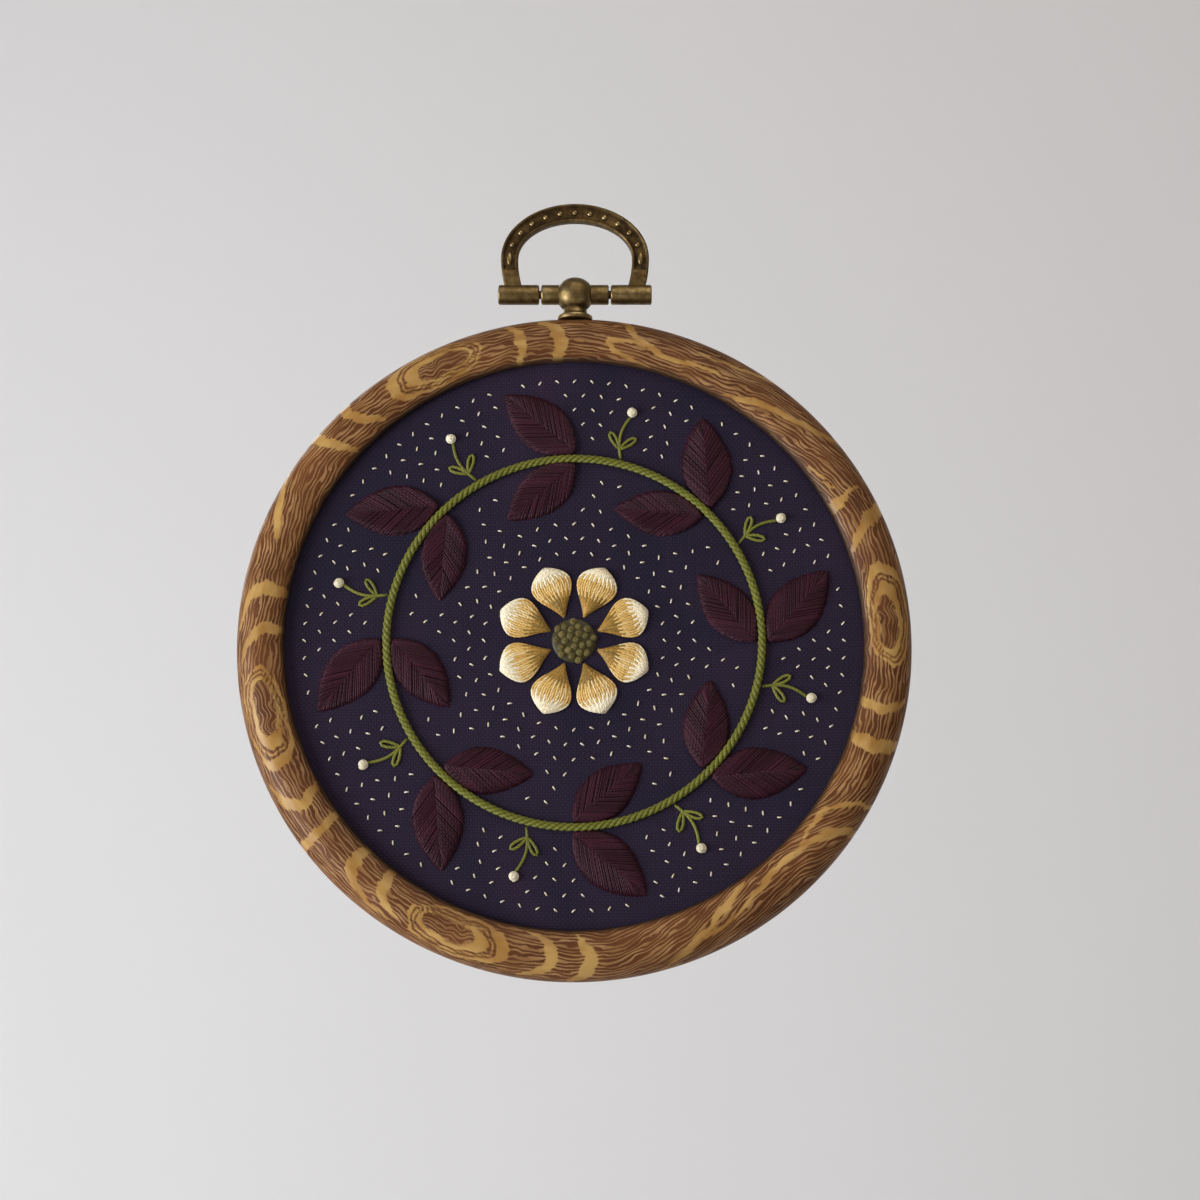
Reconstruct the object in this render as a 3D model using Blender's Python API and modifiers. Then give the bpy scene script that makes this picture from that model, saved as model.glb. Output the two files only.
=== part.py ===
# Hoop embroidery art: a stitched cotton disc stretched in a round flexible hoop, with a hinged brass bail.
# Metres, +Z up, front facing -Y. The origin is the place inside the bail's top where a nail bears.

import math

import bmesh
import bpy

MM = 0.001
GAP = 0.3 * MM  # kept between pieces that touch on the real hoop

# Outer ring: radii from the hoop's centre, heights counted towards the front from its middle
OPENING_R = 49.3 * MM
OUTER_R = 57.7 * MM
TUBE_R = 4.5 * MM
BACK_H = -4.0 * MM
LIP_EDGE_H = 2.5 * MM
LIP_UNDER_H = 2.2 * MM
OUTER_WALL_R = 52.6 * MM
EDGE_ROUND = 0.3 * MM
HOOP_STEPS = 64
SMALL_STEPS = 20

# Cloth, drawn over the inner ring's edge, and the inner ring behind it
CLOTH_T = 1.0 * MM
CLOTH_CORNER = 0.7 * MM
CLOTH_BACK_H = BACK_H + 0.3 * MM
INNER_RING_W = 2.4 * MM
INNER_RING_ROUND = 0.5 * MM

# Hanger: post, pin and bail, measured from the pin's axis
PIN_R = 0.75 * MM
PIN_SHORT = 0.1 * MM
PIN_ROUND = 0.25 * MM
BORE_R = PIN_R + GAP
KNUCKLE_R = 1.75 * MM
KNUCKLE_INNER_X = 6.3 * MM
KNUCKLE_OUTER_X = 13.5 * MM
BARREL_ROUND = 0.3 * MM
CROSS_BAR_X = 5.95 * MM
BALL_R = 3.35 * MM
BALL_TOP_Z = 3.05 * MM
BALL_LOW_Z = 3.3 * MM
NECK_R = 2.05 * MM
FOOT_R = 3.1 * MM
FOOT_T = 0.8 * MM
SHANK_R = 1.2 * MM
SHANK_LENGTH = 3.8 * MM
PIN_ABOVE_RING = 4.7 * MM
SEAT_DEPTH = 0.5 * MM
SEAT_R = FOOT_R + GAP

# Bail: a half ellipse on two legs that draw in towards the knuckles
BAIL_SHOULDER_Z = 6.6 * MM
BAIL_OUTER_X = 13.05 * MM
BAIL_INNER_X = 10.05 * MM
BAIL_TOP_Z = 16.7 * MM
BAIL_INNER_TOP_Z = 13.4 * MM
BAIL_DRAW_IN = 1.15 * MM
BAIL_T = 1.8 * MM
BAIL_EDGE = 0.25 * MM
ARCH_STEPS = 22
LEG_STEPS = 3

# Ornament on both faces of the bail: a sunk channel with a row of beads
CHANNEL_BORDER = 0.45 * MM
CHANNEL_DEPTH = 0.3 * MM
CHANNEL_END_Z = 4.4 * MM
BEAD_R = 0.5 * MM
BEAD_H = 0.4 * MM
BEAD_PITCH = 2.65 * MM
BEADS_EACH_SIDE = 6
DROP_STRETCH = 2.5

# Stitched garland, laid out round the hoop's centre on the cloth's face
STEM_R = 32.0 * MM
STEM_W = 1.4 * MM
STEM_H = 0.8 * MM
PAIRS = 8
LEAVES = {
    "outer_leaf": {"start_r": 33.2 * MM, "turn": math.radians(50), "length": 16.0 * MM, "width": 8.8 * MM},
    "inner_leaf": {"start_r": 30.8 * MM, "turn": math.radians(130), "length": 15.0 * MM, "width": 8.0 * MM},
}
LEAF_H = 0.7 * MM
LEAF_FULLEST = 0.46
PETALS = 8
PETAL_START_R = 4.3 * MM
PETAL_LENGTH = 9.2 * MM
PETAL_WIDTH = 7.0 * MM
PETAL_FULLEST = 0.64
PETAL_H = 0.9 * MM
HEART_R = 3.7 * MM
HEART_H = 1.3 * MM
KNOT_RING_R = 41.5 * MM
KNOT_TURN = math.radians(31)
KNOT_R = 1.0 * MM
KNOT_H = 0.9 * MM
PAD_EDGE = 0.25 * MM
OUTLINE_STEPS = 7

PIN_Z = -BAIL_INNER_TOP_Z
HOOP_Z = PIN_Z - PIN_ABOVE_RING - OUTER_R
TUBE_CENTRE_R = OUTER_R - TUBE_R
CLOTH_H = LIP_UNDER_H - GAP
CLOTH_R = OUTER_WALL_R - GAP
INNER_RING_R = CLOTH_R - CLOTH_T - GAP
INNER_RING_H = CLOTH_H - CLOTH_T - GAP
STITCH_H = CLOTH_H + GAP


def clear_scene():
    for obj in list(bpy.data.objects):
        bpy.data.objects.remove(obj, do_unlink=True)


def new_collection(name):
    made = bpy.data.collections.new(name)
    bpy.context.scene.collection.children.link(made)
    return made


def finish_of(name, colour, roughness, metallic=0.0):
    """A Principled material of one colour, given as linear red, green and blue."""
    made = bpy.data.materials.new(name)
    made.use_nodes = True
    shader = made.node_tree.nodes["Principled BSDF"]
    shader.inputs["Base Color"].default_value = (*colour, 1.0)
    shader.inputs["Roughness"].default_value = roughness
    shader.inputs["Metallic"].default_value = metallic
    made.diffuse_color = (*colour, 1.0)
    return made


def place(name, data, collection, material=None, parent=None, turn=0.0):
    """Puts mesh or curve data into the scene, turned about its parent's Z axis."""
    obj = bpy.data.objects.new(name, data)
    collection.objects.link(obj)
    obj.parent = parent
    obj.rotation_euler.z = turn
    if material:
        data.materials.clear()
        data.materials.append(material)
    return obj


def empty_at(name, location, rotation=(0, 0, 0), parent=None):
    obj = bpy.data.objects.new(name, None)
    parts.objects.link(obj)
    obj.parent = parent
    obj.location = location
    obj.rotation_euler = rotation
    return obj


def arc(centre_x, centre_z, radius_x, radius_z, start_deg, end_deg, steps):
    """Points on an ellipse's arc, both ends included."""
    found = []
    for i in range(steps + 1):
        angle = math.radians(start_deg + (end_deg - start_deg) * i / steps)
        found.append((centre_x + radius_x * math.cos(angle), centre_z + radius_z * math.sin(angle)))
    return found


def turned(name, profile, collection, material=None, parent=None, steps=SMALL_STEPS, ring=False):
    """A turned shape: the profile runs down its outer side, and closes on itself where it is a ring."""
    edges = [(i, i + 1) for i in range(len(profile) - 1)]
    if ring:
        edges.append((len(profile) - 1, 0))
    mesh = bpy.data.meshes.new(name)
    mesh.from_pydata([(x, 0, z) for x, z in profile], edges, [])
    obj = place(name, mesh, collection, material, parent)
    screw = obj.modifiers.new("turn", "SCREW")
    screw.steps = steps
    screw.render_steps = steps
    screw.use_merge_vertices = True
    screw.merge_threshold = 0.00001
    screw.use_smooth_shade = True
    return obj


def rod(name, radius, half_length, round_off, collection, material=None, parent=None):
    """A round bar along X with rounded ends."""
    top = half_length - round_off
    side = arc(radius - round_off, top, round_off, round_off, 90, 0, 2)
    end = arc(radius - round_off, -top, round_off, round_off, 0, -90, 2)
    obj = turned(name, [(0, half_length), *side, *end, (0, -half_length)], collection, material, parent)
    obj.rotation_euler.y = math.radians(90)
    return obj


def combine(obj, other, operation):
    """Joins or cuts obj by other, which then only guides the shape."""
    step = obj.modifiers.new(operation.lower(), "BOOLEAN")
    step.operation = operation
    step.object = other
    step.solver = "EXACT"
    other.hide_render = True
    other.display_type = "WIRE"
    return obj


def flat_curve(name, outline, thickness, edge, z=0.0):
    """A flat outline, given thickness and rounded edges, with its lower face at z."""
    curve = bpy.data.curves.new(name, "CURVE")
    curve.dimensions = "2D"
    curve.fill_mode = "BOTH"
    curve.extrude = thickness / 2 - edge
    curve.bevel_depth = edge
    curve.bevel_resolution = 0
    curve.offset = -edge
    line = curve.splines.new("POLY")
    line.points.add(len(outline) - 1)
    for point, (x, y) in zip(line.points, outline):
        point.co = (x, y, z + thickness / 2, 1)
    line.use_cyclic_u = True
    return curve


def as_mesh(obj):
    """Turns a curve object into a mesh object with its caps joined on."""
    bpy.context.view_layer.update()
    evaluated = obj.evaluated_get(bpy.context.evaluated_depsgraph_get())
    mesh = bpy.data.meshes.new_from_object(evaluated)
    shape = bmesh.new()
    shape.from_mesh(mesh)
    bmesh.ops.remove_doubles(shape, verts=shape.verts, dist=0.000001)
    bmesh.ops.recalc_face_normals(shape, faces=shape.faces)
    shape.to_mesh(mesh)
    shape.free()
    made = bpy.data.objects.new(obj.name, mesh)
    for home in obj.users_collection:
        home.objects.link(made)
    made.parent = obj.parent
    made.matrix_world = obj.matrix_world
    name = obj.name
    bpy.data.objects.remove(obj, do_unlink=True)
    made.name = name
    return made


def leaf_outline(length, width, fullest):
    """A pointed leaf from the origin along +X, fullest at that share of its length."""
    power = math.log(0.5) / math.log(fullest)
    upper = []
    for i in range(OUTLINE_STEPS + 1):
        share = i / OUTLINE_STEPS
        upper.append((share * length, width / 2 * math.sin(math.pi * share**power) ** 0.85))
    lower = [(x, -y) for x, y in upper[1:-1]]
    return upper + lower[::-1]


def bail_path(half_x, top_z, end_z):
    """From the right leg's end, over the arch, to the left leg's end."""
    leg = []
    for i in range(LEG_STEPS):
        z = end_z + (BAIL_SHOULDER_Z - end_z) * i / LEG_STEPS
        leg.append((half_x - BAIL_DRAW_IN * (1 - z / BAIL_SHOULDER_Z) ** 2, z))
    arch = arc(0, BAIL_SHOULDER_Z, half_x, top_z - BAIL_SHOULDER_Z, 0, 180, ARCH_STEPS)
    return leg + arch + [(-x, z) for x, z in reversed(leg)]


def bail_band(inset, end_z):
    """The closed outline of the bail's band, narrowed by inset on each side."""
    outer = bail_path(BAIL_OUTER_X - inset, BAIL_TOP_Z - inset, end_z)
    inner = bail_path(BAIL_INNER_X + inset, BAIL_INNER_TOP_Z + inset, end_z)
    return outer + inner[::-1]


def spaced_along(path, distance):
    """The point of a symmetric path at that distance from its middle."""
    middle = len(path) // 2
    side = path[middle::-1] if distance > 0 else path[middle:]
    left = abs(distance)
    for (x0, z0), (x1, z1) in zip(side, side[1:]):
        step = math.hypot(x1 - x0, z1 - z0)
        if left <= step:
            return x0 + (x1 - x0) * left / step, z0 + (z1 - z0) * left / step
        left -= step
    return side[-1]


def bead_row():
    """One row of beads on each face of the bail, the last of each side drawn out into a drop."""
    middle_x = (BAIL_OUTER_X + BAIL_INNER_X) / 2
    middle_top = (BAIL_TOP_Z + BAIL_INNER_TOP_Z) / 2
    path = bail_path(middle_x, middle_top, 0.0)
    shape = bmesh.new()
    for number in range(-BEADS_EACH_SIDE, BEADS_EACH_SIDE + 1):
        x, z = spaced_along(path, number * BEAD_PITCH)
        stretch = DROP_STRETCH if abs(number) == BEADS_EACH_SIDE else 1.0
        for side in (-1, 1):
            ball = bmesh.ops.create_uvsphere(shape, u_segments=8, v_segments=5, radius=BEAD_R)["verts"]
            bmesh.ops.scale(shape, vec=(1, stretch, BEAD_H / BEAD_R), verts=ball)
            floor = side * (BAIL_T / 2 - CHANNEL_DEPTH)
            bmesh.ops.translate(shape, vec=(x, z, floor), verts=ball)
    mesh = bpy.data.meshes.new("bead_row")
    shape.to_mesh(mesh)
    shape.free()
    return mesh


def make_bail(parent, brass, bore):
    band = flat_curve("hanger_bail", bail_band(0.0, 0.0), BAIL_T, BAIL_EDGE, -BAIL_T / 2)
    bail = as_mesh(place("hanger_bail", band, parts, brass, parent))
    for side in (-1, 1):
        middle = side * BAIL_T / 2
        channel = flat_curve("channel", bail_band(CHANNEL_BORDER, CHANNEL_END_Z), 2 * CHANNEL_DEPTH, 0.0)
        cutter = as_mesh(place("channel_cutter", channel, cutters, parent=parent))
        cutter.location.z += middle - CHANNEL_DEPTH
        combine(bail, cutter, "DIFFERENCE")
    combine(bail, place("bead_row", bead_row(), cutters, parent=parent), "UNION")
    for side in (-1, 1):
        half = (KNUCKLE_OUTER_X - KNUCKLE_INNER_X) / 2
        knuckle = rod("knuckle", KNUCKLE_R, half, BARREL_ROUND, cutters, parent=parent)
        knuckle.location.x = side * (KNUCKLE_OUTER_X + KNUCKLE_INNER_X) / 2
        combine(bail, knuckle, "UNION")
    combine(bail, bore, "DIFFERENCE")
    return bail


def make_post(parent, brass, bore):
    """Foot, neck and ball turned in one, with the cross bar through the ball."""
    foot_z = -(PIN_ABOVE_RING + SEAT_DEPTH - GAP)
    cove_z = foot_z + FOOT_T
    neck_angle = math.degrees(math.acos(NECK_R / BALL_R))
    neck_z = -BALL_LOW_Z * math.sin(math.radians(neck_angle))
    cove_h = neck_z - cove_z
    profile = [
        *arc(0, 0, BALL_R, BALL_TOP_Z, 90, 0, 6),
        *arc(0, 0, BALL_R, BALL_LOW_Z, 0, -neck_angle, 3)[1:],
        *arc(FOOT_R, neck_z, FOOT_R - NECK_R, cove_h, 180, 270, 3)[1:],
        (FOOT_R, foot_z),
        (SHANK_R, foot_z),
        (SHANK_R, foot_z - SHANK_LENGTH),
        (0, foot_z - SHANK_LENGTH),
    ]
    post = turned("hanger_post", profile, parts, brass, parent)
    combine(post, rod("cross_bar", KNUCKLE_R, CROSS_BAR_X, BARREL_ROUND, cutters, parent=parent), "UNION")
    return combine(post, bore, "DIFFERENCE")


def make_outer_ring(parent, material, hole):
    """A round section cut flat at the back, its front lip reaching over the cloth's edge."""
    back_angle = math.degrees(math.asin(BACK_H / TUBE_R))
    profile = [
        *arc(TUBE_CENTRE_R, LIP_EDGE_H, TUBE_CENTRE_R - OPENING_R, TUBE_R - LIP_EDGE_H, 180, 90, 5),
        *arc(TUBE_CENTRE_R, 0, TUBE_R, TUBE_R, 90, back_angle, 9)[1:],
        (OUTER_WALL_R + EDGE_ROUND, BACK_H),
        (OUTER_WALL_R, BACK_H + EDGE_ROUND),
        (OUTER_WALL_R, LIP_UNDER_H),
        (OPENING_R + EDGE_ROUND, LIP_UNDER_H),
    ]
    ring = turned("outer_ring", profile, parts, material, parent, HOOP_STEPS, ring=True)
    ring.rotation_euler.z = math.pi / HOOP_STEPS
    return combine(ring, hole, "DIFFERENCE")


def make_inner_ring(parent, material):
    low, high, edge = BACK_H, INNER_RING_H, INNER_RING_ROUND
    inner = INNER_RING_R - INNER_RING_W
    profile = [
        *arc(inner + edge, high - edge, edge, edge, 180, 90, 1),
        *arc(INNER_RING_R - edge, high - edge, edge, edge, 90, 0, 2),
        *arc(INNER_RING_R - edge, low + edge, edge, edge, 0, -90, 1),
        *arc(inner + edge, low + edge, edge, edge, 270, 180, 2),
    ]
    return turned("inner_ring", profile, parts, material, parent, HOOP_STEPS, ring=True)


def make_cloth(parent, material):
    """A taut disc with its edge drawn back between the two rings."""
    under = CLOTH_H - CLOTH_T
    profile = [
        (0, CLOTH_H),
        *arc(CLOTH_R - CLOTH_CORNER, CLOTH_H - CLOTH_CORNER, CLOTH_CORNER, CLOTH_CORNER, 90, 0, 3),
        (CLOTH_R, CLOTH_BACK_H),
        (CLOTH_R - CLOTH_T, CLOTH_BACK_H),
        (CLOTH_R - CLOTH_T, under),
        (0, under),
    ]
    return turned("ground_cloth", profile, parts, material, parent, HOOP_STEPS)


def make_garland(parent, threads):
    """The stem ring, its pairs of leaves, the knots between them and the flower inside."""
    half, base = STEM_W / 2, STITCH_H
    stem = arc(STEM_R, base, half, STEM_H, 180, 0, 4)
    turned("stitched_stem", stem, parts, threads["olive"], parent, HOOP_STEPS, ring=True)
    for name, leaf in LEAVES.items():
        outline = leaf_outline(leaf["length"], leaf["width"], LEAF_FULLEST)
        curve = flat_curve(name, outline, LEAF_H, PAD_EDGE)
        for number in range(PAIRS):
            at = math.tau * number / PAIRS
            pad = place(f"{name}_{number + 1}", curve, parts, threads["plum"], parent, at + leaf["turn"])
            pad.location = (leaf["start_r"] * math.cos(at), leaf["start_r"] * math.sin(at), base)
    petal = flat_curve("petal", leaf_outline(PETAL_LENGTH, PETAL_WIDTH, PETAL_FULLEST), PETAL_H, PAD_EDGE)
    for number in range(PETALS):
        at = math.tau * (number + 0.5) / PETALS
        pad = place(f"petal_{number + 1}", petal, parts, threads["ochre"], parent, at)
        pad.location = (PETAL_START_R * math.cos(at), PETAL_START_R * math.sin(at), base)
    dome = arc(0, base, HEART_R, HEART_H, 90, 0, 4)
    turned("flower_heart", [*dome, (0, base)], parts, threads["bark"], parent)
    dot = [*arc(0, 0, KNOT_R, KNOT_H, 90, 0, 2), (0, 0)]
    for number in range(PAIRS):
        at = math.tau * number / PAIRS + KNOT_TURN
        knot = turned(f"knot_{number + 1}", dot, parts, threads["cream"], parent, SMALL_STEPS // 2)
        knot.location = (KNOT_RING_R * math.cos(at), KNOT_RING_R * math.sin(at), base)


clear_scene()
parts = new_collection("hoop_embroidery_art")
cutters = new_collection("cutters")

woodgrain = finish_of("woodgrain_vinyl", (0.23, 0.105, 0.036), 0.42)
plain_vinyl = finish_of("plain_vinyl", (0.33, 0.17, 0.07), 0.5)
cotton = finish_of("indigo_cotton", (0.024, 0.016, 0.034), 0.9)
brass = finish_of("antique_brass", (0.17, 0.12, 0.055), 0.38, 1.0)
threads = {
    "plum": finish_of("plum_thread", (0.045, 0.010, 0.022), 0.55),
    "ochre": finish_of("ochre_thread", (0.50, 0.31, 0.09), 0.6),
    "bark": finish_of("olive_brown_thread", (0.08, 0.07, 0.025), 0.65),
    "olive": finish_of("olive_thread", (0.19, 0.19, 0.03), 0.6),
    "cream": finish_of("cream_thread", (0.72, 0.66, 0.48), 0.6),
}

front = (math.radians(90), 0, 0)
bail_face = empty_at("bail_face", (0, 0, PIN_Z), front)
hoop_axis = empty_at("hoop_axis", (0, 0, PIN_Z))
hoop_face = empty_at("hoop_face", (0, 0, HOOP_Z - PIN_Z), front, hoop_axis)

pin_bore = rod("pin_bore", BORE_R, KNUCKLE_OUTER_X + 1 * MM, 0.1 * MM, cutters, parent=hoop_axis)
seat = [
    (0, -PIN_ABOVE_RING + 2 * MM),
    (SEAT_R, -PIN_ABOVE_RING + 2 * MM),
    (SEAT_R, -PIN_ABOVE_RING - SEAT_DEPTH),
    (SHANK_R + GAP, -PIN_ABOVE_RING - SEAT_DEPTH),
    (SHANK_R + GAP, -PIN_ABOVE_RING - SEAT_DEPTH - SHANK_LENGTH),
    (0, -PIN_ABOVE_RING - SEAT_DEPTH - SHANK_LENGTH),
]
seat_hole = turned("seat_hole", seat, cutters, parent=hoop_axis)

make_bail(bail_face, brass, pin_bore)
rod("hinge_pin", PIN_R, KNUCKLE_OUTER_X - PIN_SHORT, PIN_ROUND, parts, brass, bail_face)
make_post(hoop_axis, brass, pin_bore)
make_outer_ring(hoop_face, woodgrain, seat_hole)
make_inner_ring(hoop_face, plain_vinyl)
make_cloth(hoop_face, cotton)
make_garland(hoop_face, threads)
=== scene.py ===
import math

import bpy
import numpy as np
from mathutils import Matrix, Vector


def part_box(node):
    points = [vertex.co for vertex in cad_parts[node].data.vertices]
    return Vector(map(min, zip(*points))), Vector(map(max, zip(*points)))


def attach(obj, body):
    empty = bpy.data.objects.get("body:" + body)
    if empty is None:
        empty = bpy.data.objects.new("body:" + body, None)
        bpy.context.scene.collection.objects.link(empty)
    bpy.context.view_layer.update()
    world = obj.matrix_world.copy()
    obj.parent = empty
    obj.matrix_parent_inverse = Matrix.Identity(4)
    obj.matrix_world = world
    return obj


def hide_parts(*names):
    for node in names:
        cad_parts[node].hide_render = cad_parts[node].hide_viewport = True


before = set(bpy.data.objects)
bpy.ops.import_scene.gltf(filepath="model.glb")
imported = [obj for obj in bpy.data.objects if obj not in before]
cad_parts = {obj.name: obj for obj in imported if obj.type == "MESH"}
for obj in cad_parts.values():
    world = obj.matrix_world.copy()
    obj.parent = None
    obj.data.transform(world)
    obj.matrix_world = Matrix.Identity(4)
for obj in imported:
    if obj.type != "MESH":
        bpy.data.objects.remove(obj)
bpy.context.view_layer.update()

# A round flexible hoop with a stitched cotton disc and a hinged brass bail.
# Shapes are worked out in millimetres on the hoop's face: x right, y up, h towards the front,
# counted from the hoop's centre or from the hinge pin, and makePiece puts them into the frame.

mm = 0.001
ringLow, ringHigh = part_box("outer_ring")
pinLow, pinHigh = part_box("hinge_pin")
hoopLevel = (ringLow.z + ringHigh.z) / 2 / mm
pinLevel = (pinLow.z + pinHigh.z) / 2 / mm
dice = np.random.default_rng(41)


# Mesh tools

def pointsOf(*coordinates):
    # one point from each set of coordinates, where a single number holds for all the points
    return np.stack(np.broadcast_arrays(*coordinates), axis=-1)


def inFrame(points, level):
    # face coordinates in mm, counted from that level, to the frame's metres
    return pointsOf(points[:, 0], -points[:, 2], points[:, 1] + level) * mm


def gridFaces(rows, columns, wrapRows=False, wrapColumns=True):
    i = np.arange(rows if wrapRows else rows - 1)[:, None]
    j = np.arange(columns if wrapColumns else columns - 1)
    nextI, nextJ = (i + 1) % rows, (j + 1) % columns
    i, nextI = i * columns, nextI * columns
    return pointsOf(i + j, i + nextJ, nextI + nextJ, nextI + j).reshape(-1, 4)


def fan(middle, rim):
    # triangles from a middle point to each side of a closed rim
    return pointsOf(middle, np.roll(rim, -1), rim)


def facingOut(points, quads, tris):
    # turns the faces round if the shell they close is inside out
    p, q, r = points[np.concatenate([quads[:, [0, 1, 2]], quads[:, [0, 2, 3]], tris])].transpose(1, 0, 2)
    if np.einsum("ij,ij->", p, np.cross(q, r)) < 0:
        quads, tris = quads[:, ::-1], tris[:, ::-1]
    return quads, tris


def closedShell(points, quads, tris=(), marks=None):
    tris = np.asarray(tris, int).reshape(-1, 3)
    quads, tris = facingOut(points, quads, tris)
    return {"points": points, "quads": quads, "tris": tris, "marks": marks or {}}


def joined(shells):
    starts = np.cumsum([0] + [len(shell["points"]) for shell in shells[:-1]])
    whole = {"points": np.concatenate([shell["points"] for shell in shells])}
    for kind in ("quads", "tris"):
        whole[kind] = np.concatenate([shell[kind] + start for shell, start in zip(shells, starts)])
    whole["marks"] = {label: np.concatenate([shell["marks"][label] for shell in shells])
                      for label in shells[0]["marks"]}
    return whole


def makePiece(name, shell, material, slotName, *replaced, body="hoop", level=hoopLevel, crease=None):
    mesh = bpy.data.meshes.new(name)
    faces = shell["quads"].tolist() + shell["tris"].tolist()
    mesh.from_pydata(inFrame(shell["points"], level).tolist(), [], faces)
    mesh.polygons.foreach_set("use_smooth", np.ones(len(faces), bool))
    for label, values in shell["marks"].items():
        values = np.asarray(values, np.float32)
        kind, field = ("FLOAT_VECTOR", "vector") if values.ndim == 2 else ("FLOAT", "value")
        mesh.attributes.new(label, kind, "POINT").data.foreach_set(field, values.ravel())
    if crease:
        mesh.set_sharp_from_angle(angle=math.radians(crease))
    mesh.materials.append(material)
    piece = bpy.data.objects.new(name, mesh)
    bpy.context.scene.collection.objects.link(piece)
    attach(piece, body)
    if replaced:
        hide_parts(*replaced)
    return piece


def arc(centreA, centreB, radiusA, radiusB, startDeg, endDeg, steps):
    turn = np.radians(np.linspace(startDeg, endDeg, steps + 1))
    return pointsOf(centreA + radiusA * np.cos(turn), centreB + radiusB * np.sin(turn))


def chain(*runs):
    # joins runs of points, dropping each point that repeats the one before it
    points = np.concatenate([np.atleast_2d(np.asarray(run, float)) for run in runs])
    step = np.linalg.norm(np.diff(points, axis=0), axis=1)
    return points[np.concatenate([[True], step > 1e-6])]


def alongLength(points, axis=0):
    step = np.linalg.norm(np.diff(points, axis=axis), axis=-1)
    start = np.zeros_like(np.take(step, [0], axis=axis))
    return np.concatenate([start, np.cumsum(step, axis=axis)], axis=axis)


def turnAbout(axis, radius, level, angle):
    # a point at that radius and level, turned about the hoop's axis h, or about x or y
    c, s = radius * np.cos(angle), radius * np.sin(angle)
    return pointsOf(*{"h": (c, s, level), "x": (level, c, s), "y": (s, level, c)}[axis])


def turned(profile, steps, axis, marks=None, isRing=False):
    # profile points are radius and level; marks give one value for each of them
    angle = np.linspace(0, math.tau, steps, endpoint=False)[:, None]
    rows = len(profile)
    points = turnAbout(axis, profile[:, 0], profile[:, 1], angle).reshape(-1, 3)
    marks = {label: np.tile(values, steps) for label, values in (marks or {}).items()}
    tris = []
    if not isRing:
        points = np.concatenate([points, turnAbout(axis, 0.0, profile[[0, -1], 1], 0.0)])
        marks = {label: np.append(values, values[[0, rows - 1]]) for label, values in marks.items()}
        rim = np.arange(steps) * rows
        tris = np.concatenate([fan(steps * rows, rim), fan(steps * rows + 1, rim[::-1] + rows - 1)])
    return closedShell(points, gridFaces(steps, rows, wrapRows=True, wrapColumns=isRing), tris, marks)


def swept(paths, width, height, sides=6, low=1.0, isRing=False, shade=0.5):
    # paths: threads, points, 3. width and height are half sizes, and low is the share of height kept below
    paths = np.asarray(paths, float)
    count, steps, _ = paths.shape
    width, height = np.broadcast_to(width, (count, steps)), np.broadcast_to(height, (count, steps))
    if isRing:
        tangent = np.roll(paths, -1, axis=1) - np.roll(paths, 1, axis=1)
    else:
        tangent = np.gradient(paths, axis=1)
    tangent /= np.linalg.norm(tangent, axis=-1, keepdims=True)
    side = np.cross(tangent, (0.0, 0.0, 1.0))
    side /= np.linalg.norm(side, axis=-1, keepdims=True)
    top = np.cross(side, tangent)
    turn = np.linspace(-math.pi / 2, 1.5 * math.pi, sides, endpoint=False)
    across, rise = np.cos(turn), np.sin(turn)
    rise = np.where(rise < 0, rise * low, rise)
    skin = paths[:, :, None] + (width[..., None] * across)[..., None] * side[:, :, None]
    skin = skin + (height[..., None] * rise)[..., None] * top[:, :, None]
    around = np.linspace(0, 1, sides, endpoint=False)
    threadAt = pointsOf(around, alongLength(paths, axis=1)[..., None], dice.random(count)[:, None, None])
    shade = np.broadcast_to(np.reshape(shade, (-1, 1, 1)), skin.shape[:3])
    marks = {"threadAt": threadAt, "shade": shade}
    starts = np.arange(count) * steps * sides
    quads = (gridFaces(steps, sides, wrapRows=isRing) + starts[:, None, None]).reshape(-1, 4)
    points, tris, ends = skin.reshape(-1, 3), [], []
    if not isRing:
        tips = np.concatenate([paths[:, 0] - tangent[:, 0] * width[:, :1] * 0.5,
                               paths[:, -1] + tangent[:, -1] * width[:, -1:] * 0.5])
        for thread, start in enumerate(starts):
            rim = start + np.arange(sides)
            tris.append(fan(len(points) + thread, rim))
            tris.append(fan(len(points) + count + thread, rim[::-1] + (steps - 1) * sides))
        points, tris, ends = np.concatenate([points, tips]), np.concatenate(tris), [0, -1]
    for label, values in marks.items():
        flat = values.reshape(-1, *values.shape[3:])
        marks[label] = np.concatenate([flat, *(values[:, end, 0] for end in ends)])
    return closedShell(points, quads, tris, marks)


def smoothStep(low, high, value):
    share = np.clip((value - low) / (high - low), 0, 1)
    return share * share * (3 - 2 * share)


# Node tools

def colourOf(text):
    # an sRGB hex value to linear red, green, blue and alpha
    parts = [int(text[i:i + 2], 16) / 255 for i in (1, 3, 5)]
    return (*(c / 12.92 if c <= 0.04045 else ((c + 0.055) / 1.055) ** 2.4 for c in parts), 1.0)


def setInputs(tree, node, inputs):
    for name, value in inputs.items():
        if isinstance(value, bpy.types.NodeSocket):
            tree.links.new(value, node.inputs[name])
        else:
            node.inputs[name].default_value = value


def addNode(tree, kind, inputs=None, out=0, stops=(), **settings):
    node = tree.nodes.new("ShaderNode" + kind)
    for name, value in settings.items():
        setattr(node, name, value)
    for number, (place, colour) in enumerate(stops):
        ramp = node.color_ramp.elements
        stop = ramp[number] if number < len(ramp) else ramp.new(place)
        stop.position, stop.color = place, colourOf(colour)
    setInputs(tree, node, inputs or {})
    return node.outputs[out]


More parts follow.
